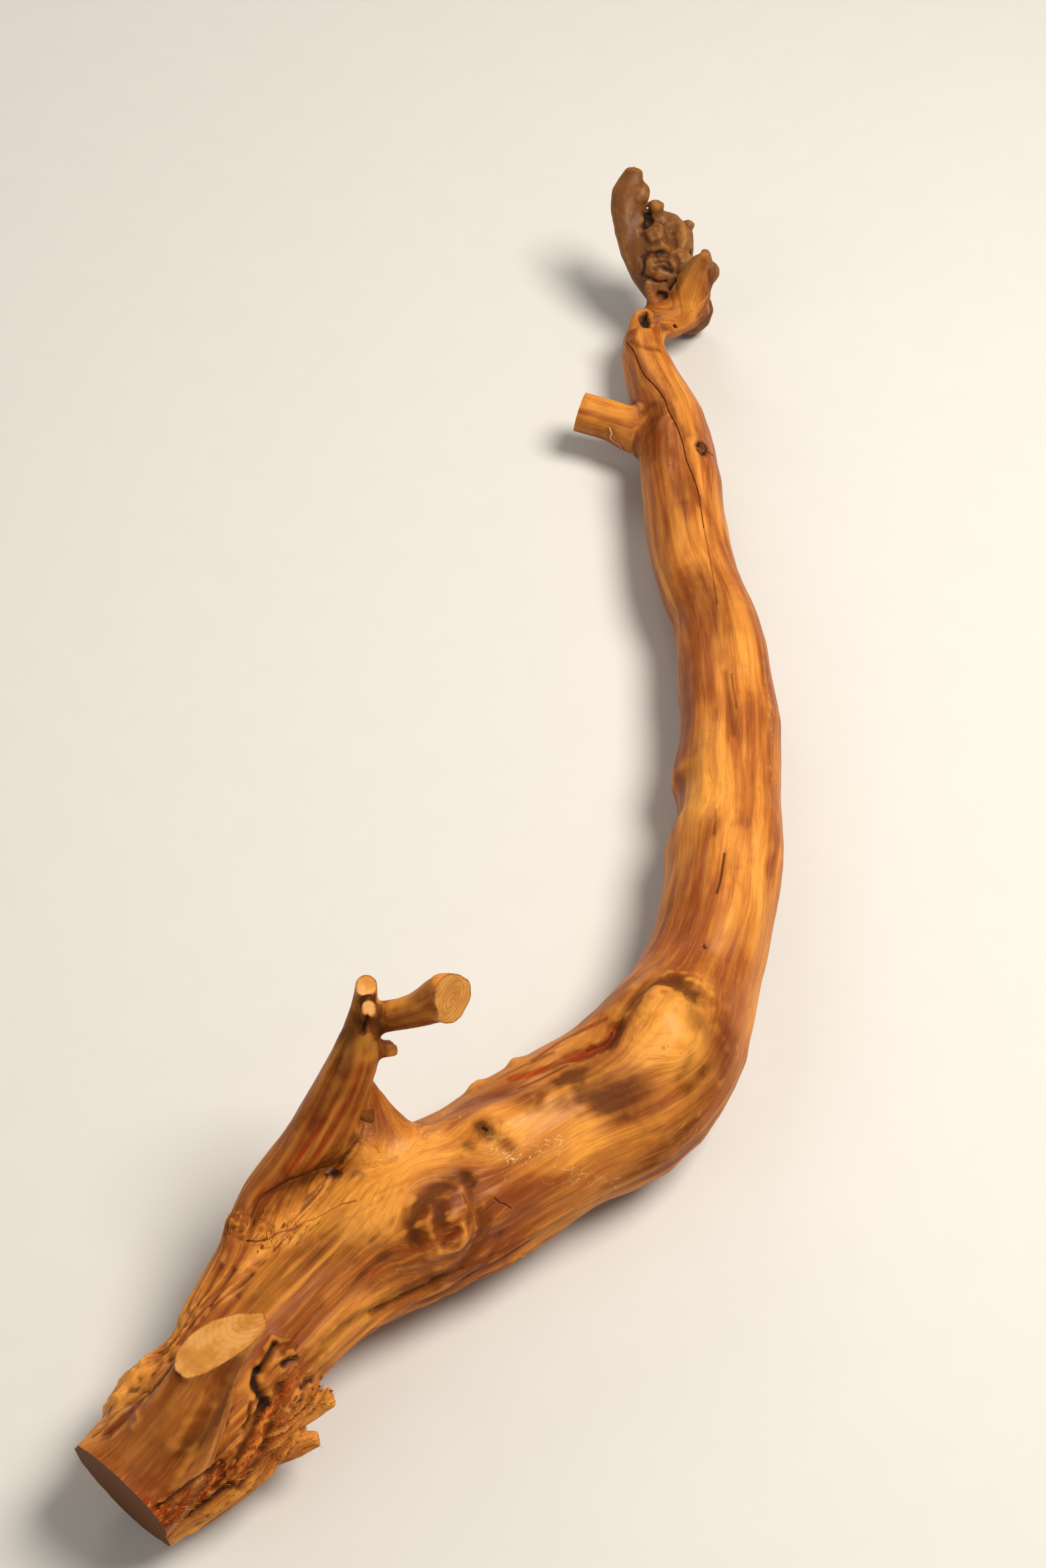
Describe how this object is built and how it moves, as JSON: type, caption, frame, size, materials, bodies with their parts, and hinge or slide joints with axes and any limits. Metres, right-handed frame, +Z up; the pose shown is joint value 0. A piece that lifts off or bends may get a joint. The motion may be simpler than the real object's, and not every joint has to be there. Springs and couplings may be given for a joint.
{
  "type": "stabilized root wood",
  "caption": "Long curved driftwood-like root without bark, polished, with a sawn butt, a rising antler-like side branch, a short sawn stub and a gnarled crown.",
  "frame": {"origin": "middle of the underside of the whole root as it lies", "axes": "+Y along the root from the sawn butt to the gnarled crown, +Z up, +X towards the outside of the bend"},
  "size_m": [0.3914, 0.9774, 0.1953],
  "materials": {
    "stem_wood": "oiled and polished",
    "branch_wood": "oiled, darker",
    "crown_wood": "oiled, gnarled"
  },
  "bodies": {
    "root": {"butt": "stem_wood", "cut_stem": "branch_wood", "trunk": "stem_wood", "side_branch": "branch_wood", "branch_arm": "branch_wood", "side_stub": "stem_wood", "upper_stem": "stem_wood", "crown_wing": "crown_wood", "crown_blade": "crown_wood"}
  },
  "joints": []
}
